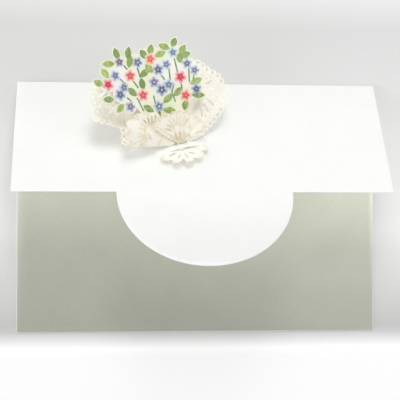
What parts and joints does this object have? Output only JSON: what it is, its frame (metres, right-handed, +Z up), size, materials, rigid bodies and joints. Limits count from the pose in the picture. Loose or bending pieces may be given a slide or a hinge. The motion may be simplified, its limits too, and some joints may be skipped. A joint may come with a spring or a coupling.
{
  "type": "wedding card",
  "caption": "Folded pearl card with a half-round tongue on its cover, holding a lace-wrapped spray of paper flowers under a cut strap.",
  "frame": {"origin": "middle of the underside of the back leaf", "axes": "+X across the card along the fold, +Y towards the fold, +Z up out of the inner leaf"},
  "size_m": [0.15, 0.119, 0.0545],
  "materials": {
    "pearl_card": "white card with a soft pearl sheen",
    "grey_pearl_paper": "grey-green paper with a satin pearl sheen",
    "lace_paper": "matt cream laser-cut paper",
    "printed_card": "white embossed card printed with small flowers, green leaves and stems"
  },
  "bodies": {
    "root": {"folded_card": "pearl_card", "inner_leaf": "grey_pearl_paper", "lace_doily": "lace_paper", "flower_spray": "printed_card"}
  },
  "joints": []
}
